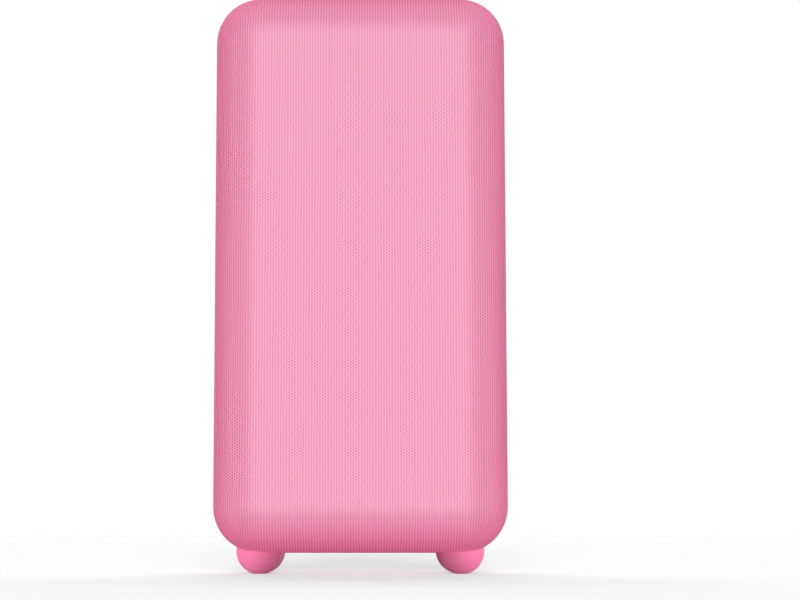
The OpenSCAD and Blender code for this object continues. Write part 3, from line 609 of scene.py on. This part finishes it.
def ring(core_x, core_z, radius, y):
    """Rounded rectangle of points in an upright plane at depth y, the same count for every ring."""
    points = []
    sides = [
        ((core_x, -core_z), (core_x, core_z), (1, 0), UP),
        ((core_x, core_z), (-core_x, core_z), (0, 1), ACROSS),
        ((-core_x, core_z), (-core_x, -core_z), (-1, 0), UP),
        ((-core_x, -core_z), (core_x, -core_z), (0, -1), ACROSS),
    ]
    for number, (start, end, out, count) in enumerate(sides):
        for i in range(count):
            t = i / count
            x = start[0] + (end[0] - start[0]) * t + out[0] * radius
            z = start[1] + (end[1] - start[1]) * t + out[1] * radius
            points.append((x, y, Z_MID + z))
        turn = number * math.pi / 2
        for i in range(CORNER):
            a = turn + math.pi / 2 * i / CORNER
            x = end[0] + radius * math.cos(a)
            points.append((x, y, Z_MID + end[1] + radius * math.sin(a)))
    return points


def edge_rings(radius, depth_sign, angles):
    """Rings over the body's rounded edge; angle 0 is the flat face and 90 degrees the side."""
    return [
        ring(CORE_X, CORE_Z, radius * math.sin(a), depth_sign * (CORE_Y + radius * math.cos(a)))
        for a in angles
    ]


def side_rings(radius, depth_sign):
    """Rings between the two rounded edges, going to the rear where depth_sign is 1."""
    return [
        ring(CORE_X, CORE_Z, radius, depth_sign * (2 * CORE_Y * i / SIDE_STEPS - CORE_Y))
        for i in range(1, SIDE_STEPS)
    ]


def flat_face(y, flip):
    """Grid over the flat front, between the corners of the core."""
    xs = [-CORE_X + 2 * CORE_X * i / ACROSS for i in range(ACROSS + 1)]
    zs = [Z_MID - CORE_Z + 2 * CORE_Z * j / UP for j in range(UP + 1)]
    quads = []
    for low_z, high_z in zip(zs, zs[1:]):
        for left, right in zip(xs, xs[1:]):
            quad = [(left, y, low_z), (right, y, low_z), (right, y, high_z), (left, y, high_z)]
            quads.append(quad[::-1] if flip else quad)
    return quads


def sleeve_quads():
    """The cloth's outer side from front to rear, its fold and lip in the rear pocket, and back inside."""
    quarter = [math.pi / 2 * i / ROUND_STEPS for i in range(ROUND_STEPS + 1)]
    inner_r = EDGE_R - FABRIC_T
    lip_x, lip_z = WINDOW_X - WINDOW_R, WINDOW_Z - WINDOW_R
    rings = edge_rings(EDGE_R, -1, quarter) + side_rings(EDGE_R, 1)
    rings += edge_rings(EDGE_R, 1, quarter[::-1])
    for i in range(FOLD_STEPS + 1):
        a = math.pi / 2 * i / FOLD_STEPS
        radius = WINDOW_R + FOLD_R * (1 - math.sin(a))
        rings.append(ring(lip_x, lip_z, radius, HALF_D - FOLD_R * (1 - math.cos(a))))
    for radius, y in (
        (WINDOW_R, HALF_D - BELOW_FOLD),
        (WINDOW_R, LIP_END + LIP_EASE),
        (WINDOW_R + LIP_EASE, LIP_END),
        (WINDOW_R + FABRIC_T - LIP_EASE, LIP_END),
        (WINDOW_R + FABRIC_T, LIP_END + LIP_EASE),
        (WINDOW_R + FABRIC_T, HALF_D - FABRIC_T),
    ):
        rings.append(ring(lip_x, lip_z, radius, y))
    rings += edge_rings(inner_r, 1, quarter) + side_rings(inner_r, -1)
    rings += edge_rings(inner_r, -1, quarter[::-1])
    quads = flat_face(-HALF_D, False)
    for a, b in zip(rings, rings[1:]):
        for i in range(len(a)):
            j = (i + 1) % len(a)
            quads.append([a[i], b[i], b[j], a[j]])
    return quads + flat_face(-HALF_D + FABRIC_T, True)


def mesh_from_quads(name, quads):
    """Welds quads that share corners and drops those that have collapsed."""
    index, points, faces = {}, [], []
    for quad in quads:
        face = []
        for p in quad:
            key = tuple(round(c * WELD_GRID) for c in p)
            if key not in index:
                index[key] = len(points)
                points.append(p)
            if index[key] not in face:
                face.append(index[key])
        if len(face) > 2:
            faces.append(face)
    mesh = bpy.data.meshes.new(name)
    mesh.from_pydata(points, [], faces)
    mesh.update()
    return mesh


# A rounding's quarter arc, and the way round the body from the middle of the front to that of the rear
QUARTER_ARC = EDGE_R * math.pi / 2
HALF_ROUND = 2 * CORE_X + EDGE_R * math.pi + 2 * CORE_Y
# Below this a normal has no bearing of its own, and the face's is used
POLE = 1e-3
# The tilt from the front at which the holes are fully open and the colour's painted edge shade is full, and
# the share of that left mid-side
OPEN_AND_SHADE_TILT = math.pi / 3
SIDE_OPENING_AND_SHADE = 0.5
# A face whose normal points less than this to the rear is in the fold of the lip
FOLD_NORMAL = 0.7


def corner_arrays(mesh):
    """For each face corner, from the body's middle: its place, its face's middle, and its face's normal."""
    co = np.zeros(len(mesh.vertices) * 3)
    mesh.vertices.foreach_get("co", co)
    loop_vertex = np.zeros(len(mesh.loops), int)
    mesh.loops.foreach_get("vertex_index", loop_vertex)
    totals = np.zeros(len(mesh.polygons), int)
    mesh.polygons.foreach_get("loop_total", totals)
    normals = np.zeros(len(mesh.polygons) * 3)
    mesh.polygons.foreach_get("normal", normals)
    loop_face = np.repeat(np.arange(len(totals)), totals)
    places = co.reshape(-1, 3)[loop_vertex] - np.array([0, 0, Z_MID])
    sums = np.stack([np.bincount(loop_face, places[:, k]) for k in range(3)], 1)
    middles = (sums / totals[:, None])[loop_face]
    return places, middles, normals.reshape(-1, 3)[loop_face]


def on_rounding(at):
    """The nearest place in the core, the direction out from it, and its angle round from the front."""
    core = np.array([CORE_X, CORE_Y, CORE_Z])
    clamped = np.clip(at, -core, core)
    n = at - clamped
    n /= np.maximum(np.linalg.norm(n, axis=1), 1e-9)[:, None]
    return clamped, n, np.arctan2(np.abs(n[:, 0]), -n[:, 1])


def weave_attribute(mesh):
    """Where each face corner lies on the cloth: x runs round the body from the front, and y up it.
    z is how far the holes open and how far the colour turns to painted edge shade, from 0 to a millimetre."""
    p, centre, normals = corner_arrays(mesh)
    clamped, n, turn = on_rounding(p)
    face_turn = on_rounding(centre)[2]
    at_pole = np.hypot(n[:, 0], n[:, 1]) < POLE
    within_x = np.abs(centre[:, 0]) < CORE_X
    within_y = np.abs(centre[:, 1]) < CORE_Y
    side = np.sign(centre[:, 0])
    up = np.sign(centre[:, 2])
    steep = np.abs(n[:, 2])
    tilt = np.arccos(np.clip(np.abs(n[:, 1]), 0, 1))

    # Above and below the flats, the angle is that of the flat
    turn = np.where(at_pole, face_turn, turn)
    turn = np.where(within_x & ~within_y, np.where(centre[:, 1] < 0, 0.0, math.pi), turn)
    turn = np.where(~within_x & within_y, math.pi / 2, turn)

    # Round the body: across the front, round an edge and along a side, then back across the rear
    on_side = CORE_X + EDGE_R * turn + np.clip(clamped[:, 1] + CORE_Y, 0, 2 * CORE_Y)
    on_rear = HALF_ROUND - side * p[:, 0]
    along = np.where(within_x & (turn < 1), side * p[:, 0], np.where(within_x, on_rear, on_side))
    u = side * along

    # Up the body, and over the top and bottom roundings
    share = np.where(turn <= math.pi / 2, turn, math.pi - turn) / (math.pi / 2)
    rise = (1 - share) * np.arctan2(steep, np.abs(n[:, 1])) + share * np.arctan2(steep, np.abs(n[:, 0]))
    rise = np.where(at_pole & (steep > 0.5), math.pi / 2, rise)
    v = clamped[:, 2] + up * EDGE_R * rise

    # On the flat top and bottom the ribs run on from the front to the rear
    cap = within_x & within_y
    u = np.where(cap, p[:, 0], u)
    v = np.where(cap, up * (CORE_Z + QUARTER_ARC + p[:, 1] + CORE_Y), v)

    # Over a corner the knit spreads evenly from the flat front or rear
    corner = ~within_x & (np.abs(centre[:, 2]) > CORE_Z)
    to_rim = np.where(within_y, QUARTER_ARC + CORE_Y - np.abs(p[:, 1]), EDGE_R * tilt)
    spread = np.maximum(np.hypot(n[:, 0], n[:, 2]), 1e-9)
    from_middle = CORE_X + to_rim * np.abs(n[:, 0]) / spread
    from_front = np.where(centre[:, 1] < 0, from_middle, HALF_ROUND - from_middle)
    u = np.where(corner, side * from_front, u)
    v = np.where(corner, up * (CORE_Z + to_rim * steep / spread), v)

    # In the fold and the lip behind it the knit runs straight on into the pocket
    depth = HALF_D - p[:, 1]
    behind = within_x & (np.abs(centre[:, 2]) < CORE_Z) & (centre[:, 1] > CORE_Y)
    in_fold = behind & (np.abs(normals[:, 1]) < FOLD_NORMAL)
    sideways = np.abs(normals[:, 0]) > np.abs(normals[:, 2])
    u = np.where(in_fold & sideways, u + side * depth, u)
    v = np.where(in_fold & ~sideways, v - up * depth, v)

    # The holes' opening and the colour's painted edge shade grow with the tilt from the front, less mid-side
    nearness = SIDE_OPENING_AND_SHADE + (1 - SIDE_OPENING_AND_SHADE) * (clamped[:, 1] / CORE_Y) ** 2
    opening_and_edge_shade = np.clip(tilt / OPEN_AND_SHADE_TILT, 0, 1) * nearness
    layer = mesh.attributes.new("weave_at", "FLOAT_VECTOR", "CORNER")
    layer.data.foreach_set("vector", np.stack([u, v, opening_and_edge_shade * MM], 1).astype(np.float32).ravel())


def cut_foot_holes(obj):
    """Cuts the cloth round each ball foot."""
    bm = bmesh.new()
    for x in (-1, 1):
        for y in (-1, 1):
            made = bmesh.ops.create_uvsphere(bm, u_segments=64, v_segments=32, radius=FOOT_R + FOOT_GAP)
            bmesh.ops.translate(bm, verts=made["verts"], vec=(x * FOOT_X, y * FOOT_Y, FOOT_Z))
    data = bpy.data.meshes.new("foot_cutter")
    bm.to_mesh(data)
    bm.free()
    cutter = bpy.data.objects.new("foot_cutter", data)
    bpy.context.scene.collection.objects.link(cutter)
    cut = obj.modifiers.new("cut", "BOOLEAN")
    cut.operation = "DIFFERENCE"
    cut.solver = "EXACT"
    cut.object = cutter
    evaluated = obj.evaluated_get(bpy.context.evaluated_depsgraph_get())
    mesh = bpy.data.meshes.new_from_object(evaluated)
    obj.modifiers.clear()
    obj.data = mesh
    bpy.data.objects.remove(cutter)


def add_sleeve():
    """The knitted sleeve, which stands for the CAD's plain one."""
    obj = bpy.data.objects.new("knit_sleeve", mesh_from_quads("knit_sleeve", sleeve_quads()))
    bpy.context.scene.collection.objects.link(obj)
    cut_foot_holes(obj)
    mesh = obj.data
    mesh.name = "knit_sleeve"
    mesh.materials.clear()
    mesh.materials.append(MATERIALS["knit_fabric"])
    mesh.polygons.foreach_set("use_smooth", [True] * len(mesh.polygons))
    mesh.set_sharp_from_angle(angle=SLEEVE_SHARP)
    weave_attribute(mesh)
    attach(obj, "cabinet")
    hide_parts("fabric_sleeve")
    return obj


# ---------- finished rear pieces ----------

KEYS = ("power", "pairing", "volume_down", "play", "volume_up")
# Shared corners closer than this are one, and faces flatter than this are merged
WELD = 1e-6
FLAT_ANGLE = math.radians(1)
# Edges sharper than this and this near the outer face are rounded over
SOFTENED_ANGLE = math.radians(50)
FACE_REACH = 0.02 * MM
# Edges sharper than this are shaded sharp
PIECE_SHARP = math.radians(35)
# A normal this straight belongs to the flat outer face, and one this straight to an engraving's floor
FLAT_NORMAL = 0.999
ENGRAVED_NORMAL = 0.9
INK_REACH = 0.03 * MM
PANEL_SOFTENING, FLAP_SOFTENING, PLATE_SOFTENING = 0.35 * MM, 0.30 * MM, 0.30 * MM
SYMBOL_DEPTH = 0.2 * MM


def outer_edges(bm, face_y):
    """Edges around the piece's outer face, and around what is cut into it."""
    return [
        e for e in bm.edges
        if len(e.link_faces) == 2
        and e.calc_face_angle(0) > SOFTENED_ANGLE
        and all(v.co.y > face_y - FACE_REACH for v in e.verts)
    ]


def node_copy(name):
    """The CAD node's shape as a bmesh, in the row frame."""
    bm = bmesh.new()
    bm.from_mesh(nodes[name].data)
    bm.transform(nodes[name].matrix_world)
    bmesh.ops.remove_doubles(bm, verts=bm.verts, dist=WELD)
    return bm


def piece(name, bm, node, slot, flat=False):
    """An object made of bm, which it frees, that takes the CAD node's place.
    With flat, the faces that look straight out are shaded flat."""
    mesh = bpy.data.meshes.new(name)
    bm.to_mesh(mesh)
    bm.free()
    mesh.materials.append(MATERIALS[slot])
    mesh.set_sharp_from_angle(angle=PIECE_SHARP)
    smooth = [not flat or abs(p.normal.y) < FLAT_NORMAL for p in mesh.polygons]
    mesh.polygons.foreach_set("use_smooth", smooth)
    obj = bpy.data.objects.new(name, mesh)
    bpy.context.scene.collection.objects.link(obj)
    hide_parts(node)
    return obj


def remade(name, body, slot, soften=0.0, ink_depth=0.0):
    """A copy of a CAD piece with its outer edges rounded over, or its engraved symbol inked."""
    bm = node_copy(name)
    bmesh.ops.dissolve_limit(bm, angle_limit=FLAT_ANGLE, verts=bm.verts, edges=bm.edges)
    face_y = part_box(name)[1].y
    if soften:
        bmesh.ops.bevel(
            bm, geom=outer_edges(bm, face_y), offset=soften, offset_type="OFFSET",
            segments=3, profile=0.5, affect="EDGES", clamp_overlap=True,
        )
    bmesh.ops.recalc_face_normals(bm, faces=bm.faces)
    ink = bm.faces.layers.float.new("ink")
    for face in bm.faces:
        off_floor = abs(face.calc_center_median().y - (face_y - ink_depth))
        engraved = face.normal.y > ENGRAVED_NORMAL and off_floor < INK_REACH
        face[ink] = 1.0 if ink_depth and engraved else 0.0
    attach(piece(name + "_finished", bm, name, slot, flat=True), body)


def flexing_surround():
    """The radiator's rubber roll, a copy of the CAD node that takes its place, with its transform baked in.
    """
    bm = node_copy("radiator_surround")
    obj = piece("radiator_surround_roll", bm, "radiator_surround", "black_rubber")
    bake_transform(obj)


def key_middle(key):
    low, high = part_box(key + "_button")
    return (low.x + high.x) / 2


def keypad_pads():
    """The keypad's membrane, cut into one pad under each key."""
    pitch = abs(key_middle(KEYS[0]) - key_middle(KEYS[-1])) / (len(KEYS) - 1)
    for key in KEYS:
        x = key_middle(key)
        bm = node_copy("keypad_membrane")
        for side in (-1, 1):
            cut = bmesh.ops.bisect_plane(
                bm, geom=[*bm.verts, *bm.edges, *bm.faces], dist=1e-7, clear_outer=True,
                plane_co=(x + side * pitch / 2, 0, 0), plane_no=(side, 0, 0),
            )
            rim = [e for e in cut["geom_cut"] if isinstance(e, bmesh.types.BMEdge)]
            bmesh.ops.holes_fill(bm, edges=rim)
        obj = piece(key + "_pad", bm, "keypad_membrane", "black_rubber")
        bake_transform(obj)


def finish_rear():
    """The pieces in view at the rear, with softened edges and inked symbols."""
    remade("rear_panel", "cabinet", "panel_plastic", soften=PANEL_SOFTENING)
    remade("port_flap", "flap", "flap_rubber", soften=FLAP_SOFTENING)
    remade("radiator_plate", "radiator_motion", "radiator_finish", soften=PLATE_SOFTENING)
    for key in KEYS:
        remade(key + "_button", key + "_key", "button_plastic", ink_depth=SYMBOL_DEPTH)


# ---------- the whole scene ----------

add_camera()
dress_nodes()
add_floor(add_sleeve())
add_world()
add_lights()
finish_rear()
flexing_surround()
keypad_pads()
